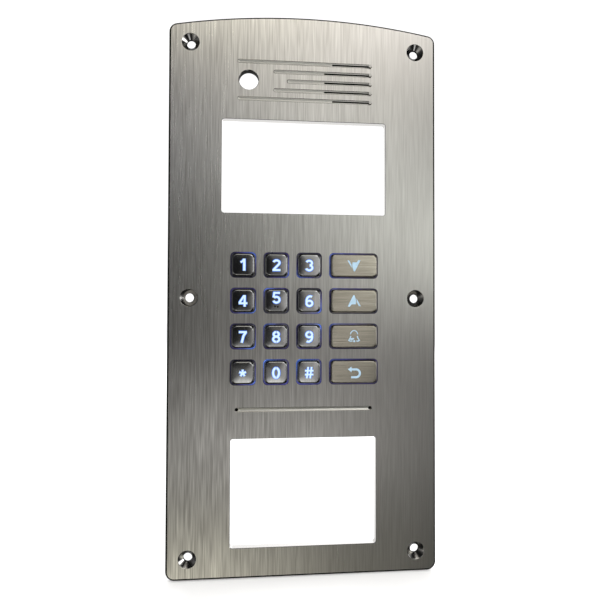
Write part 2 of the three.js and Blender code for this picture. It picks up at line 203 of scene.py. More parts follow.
def inset(outline, distance):
    """The same outline, moved inwards by a distance along its corners' bisectors."""
    count = len(outline)
    points = []
    for i, (x, z) in enumerate(outline):
        before, after = outline[i - 1], outline[(i + 1) % count]
        a = Vector((x - before[0], z - before[1])).normalized()
        b = Vector((after[0] - x, after[1] - z)).normalized()
        normal = Vector((-a.y - b.y, a.x + b.x))
        normal *= distance / max(normal.length_squared / 2, 0.05)
        points.append((x + normal.x, z + normal.y))
    return points


def signed_area(points):
    return sum(a[0] * b[1] - b[0] * a[1] for a, b in zip(points, points[1:] + points[:1])) / 2


def stack(bm, rings, hollow=False):
    """A closed body from rings of (outline, depth) in millimetres, with equal point counts.

    A hollow body has a hole through it: its last ring joins its first.
    """
    rows = [[bm.verts.new((x * MM, depth * MM, z * MM)) for x, z in outline] for outline, depth in rings]
    count = len(rows[0])
    for a, b in zip(rows, rows[1:] + (rows[:1] if hollow else [])):
        for i in range(count):
            j = (i + 1) % count
            bm.faces.new((a[i], a[j], b[j], b[i]))
    if not hollow:
        bm.faces.new(rows[0])
        bm.faces.new(rows[-1][::-1])


def smooth(piece, angle):
    mesh = piece.data
    mesh.polygons.foreach_set("use_smooth", [True] * len(mesh.polygons))
    mesh.set_sharp_from_angle(angle=math.radians(angle))


def finish_mesh(bm, name, smooth_angle=35):
    bmesh.ops.recalc_face_normals(bm, faces=bm.faces)
    mesh = bpy.data.meshes.new(name)
    bm.to_mesh(mesh)
    bm.free()
    made = bpy.data.objects.new(name, mesh)
    bpy.context.scene.collection.objects.link(made)
    smooth(made, smooth_angle)
    return made


def stacked(name, *bodies, smooth_angle=35, hollow=False):
    """A piece of one or more bodies, each a list of rings."""
    bm = bmesh.new()
    for rings in bodies:
        stack(bm, rings, hollow)
    return finish_mesh(bm, name, smooth_angle)


def boolean(piece, tool, operation="DIFFERENCE", overlapping=False, smooth_angle=35):
    """Cuts, joins or keeps a piece with a tool, which is then removed."""
    modifier = piece.modifiers.new("cut", "BOOLEAN")
    modifier.object = tool
    modifier.operation = operation
    modifier.solver = "EXACT"
    modifier.use_self = overlapping
    evaluated = piece.evaluated_get(bpy.context.evaluated_depsgraph_get())
    mesh = bpy.data.meshes.new_from_object(evaluated)
    mesh.name = piece.name
    piece.modifiers.remove(modifier)
    piece.data = mesh
    bpy.data.objects.remove(tool)
    smooth(piece, smooth_angle)


def weighted_normals(piece):
    modifier = piece.modifiers.new("normals", "WEIGHTED_NORMAL")
    modifier.keep_sharp = True
    modifier.weight = 100


def put(piece, body, material, replaced=()):
    """Gives a piece its materials, the body it rides on, and the CAD nodes it stands for."""
    materials = material if isinstance(material, (list, tuple)) else [material]
    # Clearing the material list resets each face's choice, so the choices are kept and set again.
    chosen = [polygon.material_index for polygon in piece.data.polygons]
    piece.data.materials.clear()
    for one in materials:
        piece.data.materials.append(one)
    for polygon, index in zip(piece.data.polygons, chosen):
        polygon.material_index = min(index, len(materials) - 1)
    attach(piece, body)
    if replaced:
        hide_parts(*replaced)


# ---- Materials ----


def add_node(tree, kind, values=None, **properties):
    """A shader node whose sockets are set to values or linked to other nodes' sockets."""
    made = tree.nodes.new("ShaderNode" + kind)
    for name, value in properties.items():
        setattr(made, name, value)
    for socket, value in (values or {}).items():
        if isinstance(value, bpy.types.NodeSocket):
            tree.links.new(value, made.inputs[socket])
        else:
            made.inputs[socket].default_value = value
    return made


class Shader:
    """A node material with one Principled shader and short ways to add procedural detail."""

    def __init__(self, name, color, roughness, metallic=0.0, **settings):
        self.material = bpy.data.materials.new(name)
        self.material.use_nodes = True
        self.tree = self.material.node_tree
        self.base = self.tree.nodes["Principled BSDF"]
        settings = {"Base Color": (*color, 1), "Roughness": roughness, "Metallic": metallic, **settings}
        for socket, value in settings.items():
            self.base.inputs[socket.replace("_", " ")].default_value = value

    def node(self, kind, values=None, **properties):
        return add_node(self.tree, kind, values, **properties)

    def place(self, scale):
        """The piece's own coordinates in metres, stretched by a scale, or by one for each axis."""
        scale = scale if isinstance(scale, tuple) else (scale,) * 3
        coordinates = self.node("TexCoord").outputs["Object"]
        return self.node("Mapping", {"Vector": coordinates, "Scale": scale}).outputs["Vector"]

    def noise(self, scale, detail=3.0, roughness=0.55, distortion=0.0):
        values = {"Vector": self.place(scale), "Scale": 1.0, "Detail": detail, "Roughness": roughness,
                  "Distortion": distortion}
        return self.node("TexNoise", values).outputs["Fac"]

    def ramp(self, value, low=0.3, high=0.7, out_low=0.0, out_high=1.0):
        """A value mapped to a new range; most noise lies between 0.3 and 0.7."""
        values = {"Value": value, "From Min": low, "From Max": high, "To Min": out_low, "To Max": out_high}
        return self.node("MapRange", values).outputs["Result"]

    def math(self, operation, a, b):
        return self.node("Math", {0: a, 1: b}, operation=operation).outputs["Value"]

    def mix(self, factor, *colors):
        """The first colour turning into the second as the factor grows; either may be a socket."""
        a, b = (color if isinstance(color, bpy.types.NodeSocket) else (*color, 1) for color in colors)
        return self.node("Mix", {0: factor, 6: a, 7: b}, data_type="RGBA").outputs[2]

    def link(self, value, socket):
        self.tree.links.new(value, self.base.inputs[socket])

    def tone(self, factor, dark, light):
        self.link(self.mix(factor, dark, light), "Base Color")

    def dullness(self, noise, low, high):
        """Roughness that follows a noise from low to high."""
        self.link(self.ramp(noise, out_low=low, out_high=high), "Roughness")

    def bump(self, height, strength, microns):
        values = {"Height": height, "Strength": strength, "Distance": microns * MICRON}
        if self.base.inputs["Normal"].links:
            values["Normal"] = self.base.inputs["Normal"].links[0].from_socket
        self.link(self.node("Bump", values).outputs["Normal"], "Normal")


def brushed_metal(name, dark, light, roughness, along, streak_bump, anisotropic, fineness=1.0, contrast=1.0,
                  fading=None):
    """Metal with straight brush lines along X or Z, of four widths, and slow clouds of roughness.

    Where fading is given, the lines grow fainter from its first X to its second, to the share that comes last:
    painted light, standing in for the lines washing out in brighter light.
    """
    shader = Shader(name, light, roughness, 1.0, Anisotropic=anisotropic)

    def lines(pitch, length):
        """Noise drawn out along the brushing, with its pitch and length in millimetres."""
        across = fineness * 1000 / pitch
        scale = (across, across, 1000 / length) if along == "Z" else (1000 / length, across, across)
        return shader.noise(scale, detail=0.6, roughness=0.4)

    hair, fine, medium, broad = lines(0.24, 16), lines(0.42, 14), lines(0.75, 24), lines(4.0, 110)
    cloud = shader.noise((14, 14, 6), detail=2.0)
    mixed = shader.math("MULTIPLY", fine, 0.62)
    for layer, share in ((medium, 0.27), (broad, 0.11)):
        mixed = shader.math("ADD", mixed, shader.math("MULTIPLY", layer, share))
    # Painted light: the lines' contrast drops across X, as if washed out by a brighter highlight.
    if fading:
        from_x, to_x, least = fading
        x = shader.node("SeparateXYZ", {"Vector": shader.place(1)}).outputs["X"]
        strength = shader.ramp(x, from_x, to_x, 1.0, least)
        mixed = shader.math("ADD", shader.math("MULTIPLY", shader.math("SUBTRACT", mixed, 0.5), strength), 0.5)
    half = 0.27 / contrast
    shader.tone(shader.ramp(mixed, 0.5 - half, 0.5 + half), dark, light)
    rough = shader.math("ADD", shader.ramp(mixed, out_low=roughness + 0.03, out_high=roughness - 0.03),
                        shader.ramp(cloud, 0.35, 0.65, -0.02, 0.02))
    shader.link(rough, "Roughness")
    tangent = shader.node("CombineXYZ", {"X": float(along == "Z"), "Y": 0.0, "Z": float(along == "X")})
    shader.link(tangent.outputs["Vector"], "Tangent")
    shader.bump(hair, streak_bump, 10)
    shader.bump(fine, streak_bump, 30)
    return shader.material


def cut_metal(name, color, roughness):
    """Milled walls of holes and grooves, with fine marks round the cut; the keys' near-black sides, made with
    it, are painted shade.
    """
    shader = Shader(name, color, roughness, 1.0)
    marks = shader.noise((900, 4000, 900), detail=2.0)
    shader.dullness(marks, roughness - 0.06, roughness + 0.1)
    shader.tone(marks, [c * 0.75 for c in color], color)
    shader.bump(marks, 0.15, 20)
    return shader.material


def painted_shade_material(name, color, roughness=0.6):
    """Near-black and dull, with a faint mottle: painted shade and painted dark reflection for deep slots, pits,
    bores and the plate's rounded rim.
    """
    shader = Shader(name, color, roughness, Specular_IOR_Level=0.1)
    mottle = shader.noise(1500)
    shader.tone(mottle, [c * 0.4 for c in color], color)
    shader.dullness(mottle, roughness - 0.08, roughness + 0.08)
    shader.bump(mottle, 0.1, 20)
    return shader.material


def mill_finish(name, dark, light):
    """The faceplate's unbrushed rear: dull rolled sheet with faint clouds and scratches."""
    shader = Shader(name, light, 0.42, 1.0)
    cloud = shader.noise((30, 30, 22), detail=5.0, roughness=0.6)
    grain = shader.noise((2400, 2400, 500), detail=2.0)
    scratch = shader.ramp(shader.noise((90, 90, 1300), distortion=0.6), 0.62, 0.68)
    shader.tone(shader.ramp(cloud), dark, light)
    rough = shader.ramp(cloud, out_low=0.36, out_high=0.5)
    shader.link(shader.math("ADD", rough, shader.math("MULTIPLY", scratch, -0.12)), "Roughness")
    shader.bump(grain, 0.12, 30)
    return shader.material


def lit_resin(name, color, strength, variation=0.25):
    """Resin lit from behind, its glow varying a little from place to place."""
    shader = Shader(name, color, 0.35, Emission_Color=(*color, 1))
    glow = shader.noise(350, detail=2.0)
    level = shader.ramp(glow, out_low=strength * (1 - variation), out_high=strength * (1 + variation))
    shader.link(level, "Emission Strength")
    return shader.material


def leaking_light(name):
    """Milky silicone lit blue from the side, by how much light reaches each part of the lip."""
    shader = Shader(name, (0.06, 0.065, 0.09), 0.5)
    leak = shader.node("Attribute", attribute_name="leak").outputs["Fac"]
    mottle = shader.ramp(shader.noise(260, detail=2.0), 0.35, 0.65, 0.5, 1.3)
    level = shader.math("MULTIPLY", shader.math("MULTIPLY", leak, mottle), 0.75)
    color = shader.mix(shader.ramp(leak, 0.3, 1.3), (0.13, 0.09, 0.55), (0.10, 0.24, 0.85))
    shader.link(color, "Emission Color")
    shader.link(level, "Emission Strength")
    return shader.material


def zinc_plate(name):
    """Zinc-plated pressed steel: large soft crystals, handling scratches and a faint blue-yellow cast."""
    shader = Shader(name, (0.66, 0.67, 0.68), 0.34, 1.0)
    crystals = shader.node("TexVoronoi", {"Vector": shader.place(300), "Scale": 1.0, "Randomness": 1.0})
    flake = shader.node("SeparateColor", {"Color": crystals.outputs["Color"]}).outputs[0]
    cloud = shader.noise(45, detail=4.0, roughness=0.6)
    cast = shader.mix(shader.ramp(cloud, 0.35, 0.65), (0.60, 0.62, 0.66), (0.72, 0.70, 0.64))
    shader.tone(shader.math("MULTIPLY", flake, 0.35), cast, (0.47, 0.48, 0.50))
    scratch = shader.ramp(shader.noise((60, 60, 1500), detail=2.0, distortion=0.8), 0.64, 0.70)
    rough = shader.math("ADD", shader.ramp(flake, 0, 1, 0.26, 0.42), shader.math("MULTIPLY", scratch, 0.12))
    shader.link(rough, "Roughness")
    shader.bump(shader.noise(1800, detail=2.0), 0.08, 30)
    shader.bump(cloud, 0.12, 200)
    return shader.material


def plated_steel(name, dark, light, roughness):
    """Small turned or rolled steel parts: tool lines round the axis and slight stains."""
    shader = Shader(name, light, roughness, 1.0)
    lines = shader.noise((500, 6000, 500), detail=2.0)
    stain = shader.noise(400)
    shader.tone(shader.ramp(stain), dark, light)
    shader.dullness(lines, roughness - 0.07, roughness + 0.1)
    shader.bump(lines, 0.15, 20)
    return shader.material


def moulded(name, color, roughness, grain=1400, depth=60, **settings):
    """Moulded plastic, rubber, foam or ceramic: grain (depth in microns), uneven sheen and shifts of tone."""
    shader = Shader(name, color, roughness, **settings)
    fine = shader.noise(grain, detail=2.0)
    slow = shader.noise(grain / 18)
    shader.tone(shader.ramp(slow), [c * 0.8 for c in color], [c * 1.25 for c in color])
    shader.dullness(slow, roughness - 0.07, roughness + 0.07)
    shader.bump(fine, 0.35, depth)
    return shader.material


def circuit_board(name):
    """Green solder mask over copper tracks."""
    shader = Shader(name, (0.02, 0.16, 0.07), 0.35)
    values = {"Vector": shader.place(400), "Scale": 0.5, "Mortar Size": 0.06}
    tracks = shader.node("TexBrick", values).outputs["Fac"]
    shader.tone(tracks, (0.015, 0.13, 0.055), (0.05, 0.24, 0.09))
    shader.bump(tracks, 0.3, 40)
    shader.dullness(shader.noise(1600), 0.28, 0.42)
    return shader.material


# The faceplate's brush lines fade towards the right as painted light, for their wash-out under the brighter
# light there.
FACE = brushed_metal("faceplate_brushed", (0.42, 0.41, 0.40), (0.80, 0.795, 0.78), 0.30, "Z", 0.06, 0.75,
                     contrast=1.35, fading=(-0.08, 0.07, 0.25))
PLATE_COATS = {
    "face": FACE,
    "countersink": cut_metal("faceplate_countersinks", (0.58, 0.57, 0.55), 0.12),
    "rear": mill_finish("faceplate_rear", (0.46, 0.455, 0.45), (0.62, 0.615, 0.60)),
    "engraved": cut_metal("faceplate_engraved", (0.84, 0.84, 0.81), 0.34),
    # The deep faces of the slots and end holes get near-black painted shade.
    "deep_shade": painted_shade_material("faceplate_slots_and_pits_painted_shade", (0.005, 0.0045, 0.004)),
    "wall": cut_metal("faceplate_cut_walls", (0.86, 0.845, 0.825), 0.10),
    # The plate's rounded front edge and the walls of its bores get near-black painted shade and painted dark
    # reflection.
    "rim": painted_shade_material("faceplate_rim_and_bores_painted_shade", (0.008, 0.0075, 0.007)),
}
# The keys' steep sides, near black as painted shade.
CAP_SIDE_SHADE = cut_metal("key_sides_painted_shade", (0.03, 0.03, 0.034), 0.25)
SMALL_CAP = brushed_metal("key_satin_metal", (0.39, 0.40, 0.41), (0.53, 0.535, 0.545), 0.10, "Z", 0.02, 0.1,
                          fineness=1.5, contrast=0.6)
WIDE_CAP = brushed_metal("key_golden_brushed", (0.35, 0.325, 0.27), (0.58, 0.555, 0.485), 0.22, "X", 0.06, 0.4,
                         fineness=1.3)
LEGEND = lit_resin("legend_white", (0.28, 0.37, 0.42), 1.0, 0.1)
LEGEND_DIM = lit_resin("legend_pale_blue", (0.185, 0.265, 0.33), 1.0, 0.3)
LEGEND_EDGE = lit_resin("legend_blue_edge", (0.03, 0.13, 0.62), 0.40)
GAP_GLOW = leaking_light("gap_blue_light")
PLATED = plated_steel("plated_steel", (0.52, 0.52, 0.51), (0.72, 0.72, 0.71), 0.26)
GILT = plated_steel("gilt_pins", (0.70, 0.48, 0.16), (0.95, 0.72, 0.32), 0.22)
SOLDER = plated_steel("solder", (0.55, 0.55, 0.56), (0.78, 0.78, 0.79), 0.30)
ZINC = zinc_plate("zinc_sheet_spangled")
MOULDED = moulded("black_moulded_plastic", (0.030, 0.030, 0.033), 0.48)
RUBBER = moulded("black_rubber", (0.022, 0.022, 0.024), 0.75, 900)
FOAM = moulded("black_foam", (0.020, 0.020, 0.022), 0.92, 2600, 300)
EPOXY = moulded("chip_epoxy", (0.022, 0.022, 0.024), 0.5, 2400)
FERRITE = moulded("ferrite", (0.045, 0.043, 0.044), 0.55, 1100, 100, Metallic=0.25)
FILM = moulded("speaker_film", (0.030, 0.028, 0.027), 0.6, 700)
FIBRE = moulded("terminal_fibre", (0.24, 0.13, 0.05), 0.6, 1700)
SILICONE = moulded("milky_silicone", (0.66, 0.69, 0.72), 0.5, 1100, Subsurface_Weight=0.2)
MILKY = moulded("light_guide_resin", (0.72, 0.80, 0.86), 0.35, 900, Subsurface_Weight=0.3)
BOARD = circuit_board("board_green_mask")

# ---- Faceplate ----


def plate_outline():
    """Straight sides and bottom, an arched top, and four rounded corners that meet them smoothly."""
    arch = HALF_WIDTH ** 2 / (2 * ARCH_RISE) + ARCH_RISE / 2
    arch_z = TOP - arch
    corner_x = HALF_WIDTH - PLATE_CORNER
    corner_z = arch_z + math.sqrt((arch - PLATE_CORNER) ** 2 - corner_x ** 2)
    lean = math.degrees(math.atan2(corner_z - arch_z, corner_x))
    low_z = BOTTOM + PLATE_CORNER
    return (arc(corner_x, low_z, PLATE_CORNER, -90, 0, 10)
            + arc(corner_x, corner_z, PLATE_CORNER, 0, lean, 10)
            + arc(0, arch_z, arch, lean, 180 - lean, 64)[1:-1]
            + arc(-corner_x, corner_z, PLATE_CORNER, 180 - lean, 180, 10)
            + arc(-corner_x, low_z, PLATE_CORNER, 180, 270, 10))


def plate_slab():
    """Rings of the plate, with its front edge rounded over and its rear edge broken."""
    outline = plate_outline()
    rings = []
    for degrees in range(0, 91, 15):
        angle = math.radians(degrees)
        shrunk = inset(outline, PLATE_ROUND * (1 - math.sin(angle)))
        rings.append((shrunk, FRONT + PLATE_ROUND * (1 - math.cos(angle))))
    return rings + [(outline, REAR - BROKEN_EDGE), (inset(outline, BROKEN_EDGE), REAR)]


def through_cut(outline, edge=BROKEN_EDGE):
    """Rings of a cutter that goes right through the plate and breaks both edges."""
    wider = inset(outline, -edge)
    return [(wider, FRONT - PAST), (wider, FRONT), (outline, FRONT + edge),
            (outline, REAR - edge), (wider, REAR), (wider, REAR + PAST)]


def screw_cut(x, z):
    """A through hole with a countersink, its rim slightly broken."""
    rim, hole_rim = COUNTERSINK + BROKEN_EDGE, SCREW_HOLE + BROKEN_EDGE
    profile = ((rim, FRONT - PAST), (rim, FRONT), (COUNTERSINK - 0.1, FRONT + 0.1),
               (SCREW_HOLE, FRONT + COUNTERSINK - SCREW_HOLE), (SCREW_HOLE, REAR - BROKEN_EDGE),
               (hole_rim, REAR), (hole_rim, REAR + PAST))
    return turned(x, z, profile, 48)


def groove_cut(x0, x1, z):
    """An engraved line with steep walls and a shallow V for its floor, as a stack of stadium outlines."""
    reach, floor, side = GROOVE_HALF_WIDTH, GROOVE_FLOOR_HALF_WIDTH, GROOVE_SIDE_DEPTH
    profile = ((reach + 0.1, -0.5), (reach + 0.1, -0.02), (reach - 0.02, 0.05), (floor + 0.04, side - 0.05),
               (floor - 0.05, side), (0.04, GROOVE_DEPTH))
    return [(stadium(x0, x1, z, radius), FRONT + depth) for radius, depth in profile]


def end_hole_cut(x, z):
    """A blind drilled hole with a cone at its bottom."""
    tip = FRONT + END_HOLE_DEPTH
    return turned(x, z, ((END_HOLE, FRONT - PAST), (END_HOLE, tip - 0.5), (0.08, tip)), 24)


def key_outline(label, grow, radius):
    """The outline of a key's cap above its flange, larger by grow on every side."""
    return centred(*mm_box(f"key_{label}"), grow - FLANGE_REACH, radius)


def rim_distance(outline, x, z):
    """How far a point lies inside a convex outline."""
    return min(((b[0] - a[0]) * (z - a[1]) - (b[1] - a[1]) * (x - a[0])) / math.dist(a, b)
               for a, b in zip(outline, outline[1:] + outline[:1]))


def plate_coat(polygon, rim, holes):
    """The finish of one of the plate's faces, or the near-black painted shade put on it, from its place and
    from the way it faces (the front is -1).
    """
    facing = polygon.normal.y
    x, depth, z = (value / MM for value in polygon.center)
    deep = FRONT + GROOVE_DEPTH < depth < REAR - 0.02 and x > -GROOVE_RIGHT - 1
    grille = SLOT_STARTS[1] - 1 < x < GROOVE_RIGHT + 1 and abs(z - GRILLE_Z) < 2.3 * GRILLE_PITCH
    # Deep faces in the grille's slots and the grooves' end holes are painted near black as shade.
    if deep and (grille or abs(z - LOWER_GROOVE_Z) < 1):
        return "deep_shade"
    if facing > 0.9:
        return "rear"
    # The rounded front edge is painted near black, as painted shade and dark reflection.
    if -0.995 < facing < -0.05 and rim_distance(rim, x, z) < PLATE_ROUND:
        return "rim"
    if facing > -0.95 and abs(facing) > 0.1:
        return "countersink"
    if facing > -0.95:
        # The screw and camera bores' walls are painted near black as shade; other cut walls keep bright metal.
        bored = any(math.hypot(x - hole_x, z - hole_z) < radius + 0.3 for hole_x, hole_z, radius in holes)
        return "rim" if bored else "wall"
    return "engraved" if depth > FRONT + GROOVE_DEPTH / 2 else "face"


def faceplate():
    plate = stacked("faceplate", plate_slab(), smooth_angle=30)
    cuts = [through_cut(centred(*opening(name), WINDOW_MARGIN, WINDOW_CORNER, 6), WINDOW_EDGE)
            for name in ("display_window", "reader_window")]
    cuts += [through_cut(key_outline(label, CAP_GAP, KEY_HOLE_CORNER)) for label in KEYS]
    cuts += [screw_cut(x, z) for x, z in SCREWS]
    cuts.append(through_cut(circle(CAMERA_X, GRILLE_Z, CAMERA_HOLE, 64), CAMERA_EDGE))
    cuts += [groove_cut(start, GROOVE_RIGHT, z) for start, z in zip(GRILLE_GROOVE_STARTS, GRILLE_LINES)]
    cuts.append(groove_cut(-GROOVE_RIGHT, GROOVE_RIGHT, LOWER_GROOVE_Z))
    slots = []
    for start, z in zip(SLOT_STARTS, GRILLE_LINES):
        outline = stadium(start, GROOVE_RIGHT, z, SLOT_WIDTH / 2)
        slots.append([(outline, FRONT - PAST), (outline, REAR + PAST)])
    ends = [end_hole_cut(GROOVE_RIGHT, z) for z in GRILLE_LINES]
    ends += [end_hole_cut(side * GROOVE_RIGHT, LOWER_GROOVE_Z) for side in (-1, 1)]
    for name, bodies in (("cuts", cuts), ("slots", slots), ("end_holes", ends)):
        boolean(plate, stacked(name, *bodies), smooth_angle=30)
    rim = plate_outline()
    holes = [(x, z, SCREW_HOLE) for x, z in SCREWS] + [(CAMERA_X, GRILLE_Z, CAMERA_HOLE)]
    order = list(PLATE_COATS)
    for polygon in plate.data.polygons:
        polygon.material_index = order.index(plate_coat(polygon, rim, holes))
    weighted_normals(plate)
    put(plate, ROOT, list(PLATE_COATS.values()), ["front_panel"])


# ---- Legends: strokes, each a line of points with a width ----

STROKE = 1.14


def ribbon(points, width):
    """The outline of a stroke along an open line of points, with square ends."""
    left, right = [], []
    for i, (x, z) in enumerate(points):
        before, after = points[max(i - 1, 0)], points[min(i + 1, len(points) - 1)]
        a = Vector((x - before[0], z - before[1]))
        b = Vector((after[0] - x, after[1] - z))
        a, b = (b, b) if not a.length else (a, a) if not b.length else (a, b)
        a, b = a.normalized(), b.normalized()
        normal = Vector((-a.y - b.y, a.x + b.x))
        normal *= width / max(normal.length_squared, 0.4)
        left.append((x + normal.x, z + normal.y))
        right.append((x - normal.x, z - normal.y))
    return right + left[::-1]


def ring(x, z, across, up, width):
    """A closed oval stroke, as two halves that overlap."""
    return [(oval(x, z, across, up, start, start + 194), width) for start in (-7, 173)]


def half_turned(parts, turned_round):
    """Lists of points, turned by half a turn where asked."""
    sign = -1 if turned_round else 1
    return [[(sign * x, sign * z) for x, z in points] for points in parts]


def digit(label):
    """Strokes of a bold digit 6.6 mm high and 4.7 mm wide, as (points, width), with the middle at (0, 0)."""
    w = STROKE
    if label == "1":
        return [([(0.62, 3.55), (0.62, -3.35)], 1.3), ([(-1.5, 1.45), (-0.35, 2.05), (0.5, 3.35)], 1.0)]
    if label == "2":
        hook = oval(0.02, 1.4, 1.72, 1.34, 168, -36, 18)
        return [(hook + [(-1.2, -2.05), (-1.6, -2.75)], w), ([(-2.3, -2.76), (2.28, -2.76)], 1.08)]
    if label == "3":
        upper, lower = oval(-0.12, 1.42, 1.58, 1.32, 162, -82, 20), oval(-0.12, -1.3, 1.78, 1.44, 84, -166, 22)
        return [(upper, w), (lower, w)]
    if label == "4":
        return [([(0.95, 3.3), (0.95, -3.3)], 1.16), ([(-2.45, -1.35), (2.5, -1.35)], 1.02),
                ([(0.72, 3.05), (-2.1, -1.15)], 1.06)]
    if label == "5":
        bowl = oval(0.02, -1.12, 1.76, 1.64, 140, -162, 24)
        return [([(2.1, 2.78), (-1.22, 2.78), (-1.6, 0.1)], 1.06), (bowl, w)]
    if label in ("6", "9"):
        strokes = ring(0.03, -1.25, 1.68, 1.5, w) + [(oval(0.5, 0.0, 2.15, 2.76, 62, 188, 18), w)]
        return [(points, w) for points in half_turned([points for points, _ in strokes], label == "9")]
    if label == "7":
        return [([(-2.3, 2.76), (2.3, 2.76)], 1.08), ([(1.8, 2.9), (0.35, 0.5), (-0.6, -3.3)], 1.22)]
    if label == "8":
        return ring(0, 1.5, 1.46, 1.25, w) + ring(0, -1.32, 1.72, 1.45, w)
    if label == "0":
        return ring(0, 0, 1.68, 2.74, 1.2)
    if label == "hash":
        bars = [([(x - 0.42, -3.25), (x + 0.42, 3.25)], 0.92) for x in (-0.95, 0.95)]
        return bars + [([(-2.45, z), (2.45, z)], 0.92) for z in (1.1, -1.1)]
    spokes = [math.radians(90 + 72 * i) for i in range(5)]
    return [([(-0.5 * math.cos(a), -0.5 * math.sin(a)), (2.05 * math.cos(a), 2.05 * math.sin(a))], 1.05)
            for a in spokes]


def icon(label):
    """Strokes and filled outlines of a wide key's sign: an arrowhead down or up, a bell or a return arrow."""
    if label in ("down", "up"):
        wing = [(-0.5, 3.3), (-3.7, -3.2), (-2.5, -3.3), (-1.5, -1.95), (0.9, -1.9), (1.15, -0.6), (0.9, 1.3),
                (0.2, 3.3)]
        blade = [(1.4, 1.4), (1.55, -0.5), (2.75, -2.95), (3.9, -3.0)]
        return [], half_turned((wing, blade), label == "down")
    if label == "bell":
        dome = oval(0, 0.9, 2.1, 2.45, 172, 8, 16)
        left = [(-1.9, 0.2), (-2.2, -0.9), (-3.1, -2.3), (-2.2, -2.75), (-0.9, -2.6)]
        right = [(1.9, 0.2), (2.2, -0.9), (3.1, -2.3), (2.2, -2.75), (1.3, -2.6)]
        lining = [(-2.1, -1.0), (-0.3, -0.9), (0.1, -1.6), (-1.4, -2.1), (-2.5, -1.9)]
        clapper = oval(0.1, -2.75, 0.62, 0.62, 0, 330, 11)
        return [(dome, 0.5), (left, 0.62), (right, 0.62)], [lining, clapper]
    hook = [(-1.9, 2.2)] + oval(1.15, -0.05, 2.25, 2.25, 90, -90, 18) + [(-1.7, -2.3)]
    return [(hook, 1.2)], [[(-3.6, 2.25), (-1.5, 3.8), (-1.4, 0.55)]]


# Narrow bridges of metal that cut through a legend.
SLITS = {"8": ((0, 3.3), (0, -3.3)), "0": ((0, 3.3), (0, -3.3)), "9": ((0, 3.3),)}
SLIT_WIDTH, SLIT_HEIGHT = 0.26, 2.8
# How far a legend sits above its key's middle.
LEGEND_LIFT = {"5": 1.85, "return": -0.75}
SMALL_LEGEND_DROP = 0.2


def key_middle(label):
    return middle(*mm_box(f"key_{label}"))


def legend_solid(name, label, grow, front, rear):
    """A legend as one closed solid between two depths, each stroke wider by 2 x grow."""
    x0, z0 = key_middle(label)
    z0 += LEGEND_LIFT.get(label, 0) - (SMALL_LEGEND_DROP if label in SMALL_KEYS else 0)
    strokes, fills = icon(label) if label in WIDE_KEYS else (digit(label), [])
    outlines = [ribbon(points, width + 2 * grow) for points, width in strokes]
    outlines += [inset(points if signed_area(points) > 0 else points[::-1], -grow) for points in fills]
    bodies = []
    for i, outline in enumerate(outlines):
        # No two strokes end at the same depth, as the union of coplanar faces is not reliable.
        moved = [(x0 + x, z0 + z) for x, z in outline]
        bodies.append([(moved, front - 0.001 * i), (moved, rear + 0.001 * i)])
    solid = stacked(name, *bodies)
    block = rounded(x0, z0, 30, 30, 1, 1)
    boolean(solid, stacked("block", [(block, front), (block, rear)]), "INTERSECT", overlapping=True)
    for x, z in SLITS.get(label, ()):
        slit = rounded(x0 + x, z0 + z, SLIT_WIDTH - 2 * grow * 0.6, SLIT_HEIGHT, 0.04, 1)
        boolean(solid, stacked("slit", [(slit, front - 2), (slit, rear + 2)]))
    return solid


# ---- Keys ----

# A cap's rounded edge: shares of its width and of its depth, from the face outwards.
EDGE_PROFILE = ((1.0, 0.0), (0.90, 0.012), (0.79, 0.05), (0.68, 0.115), (0.58, 0.20), (0.36, 0.46),
                (0.22, 0.64), (0.12, 0.79), (0.05, 0.90), (0.0, 1.0))
# Two small blind holes under the 5, with their radii at the mouth, at the bottom and of the near-black plugs in
# them, which are painted shade.
PIPS = ((-0.75, -3.2), (0.85, -3.5))
PIP_MOUTH, PIP_BOTTOM, PIP_PLUG = 0.58, 0.50, 0.53
# How deep below its highest point a cap's steep sides turn near black, as painted shade.
SIDE_START = 0.35


def cap_rings(label, wide):
    """A hollow key cap: from its crowned face, over the rounded edge and the flange, to its ceiling inside."""
    low, high = mm_box(f"key_{label}")
    top = low.y
    border, drop, face_radius, corner, crown, reach = (
        (0.85, 0.9, 1.9, 2.0, 0.03, 5.4) if wide else (1.05, 1.15, 2.5, 2.5, 0.12, 4.8))
    rings = []
    for i in range(1, 7):
        share = i / 6
        radius = 0.5 + (face_radius - 0.5) * share
        rings.append((key_outline(label, -border - (1 - share) * reach, radius), top + crown * share ** 2))
    for across, down in EDGE_PROFILE:
        radius = corner + (face_radius - corner) * across
        rings.append((key_outline(label, -border * across, radius), top + crown + (drop - crown) * down))
    flange = key_outline(label, FLANGE_REACH, FLANGE_CORNER)
    skirt = key_outline(label, 0, corner)
    hollow = key_outline(label, -CAP_SKIRT_WALL, 0.6)
    return rings + [(skirt, FLANGE_FRONT), (inset(flange, 0.1), FLANGE_FRONT), (flange, FLANGE_FRONT + 0.1),
                    (flange, FLANGE_REAR - 0.1), (inset(flange, 0.1), FLANGE_REAR), (skirt, FLANGE_REAR),
                    (skirt, high.y), (hollow, high.y), (hollow, top + CAP_TOP_WALL)]


def pips(name, label, *profile):
    x0, z0 = key_middle(label)
    return stacked(name, *[turned(x0 + x, z0 + z, profile, 16) for x, z in PIPS])


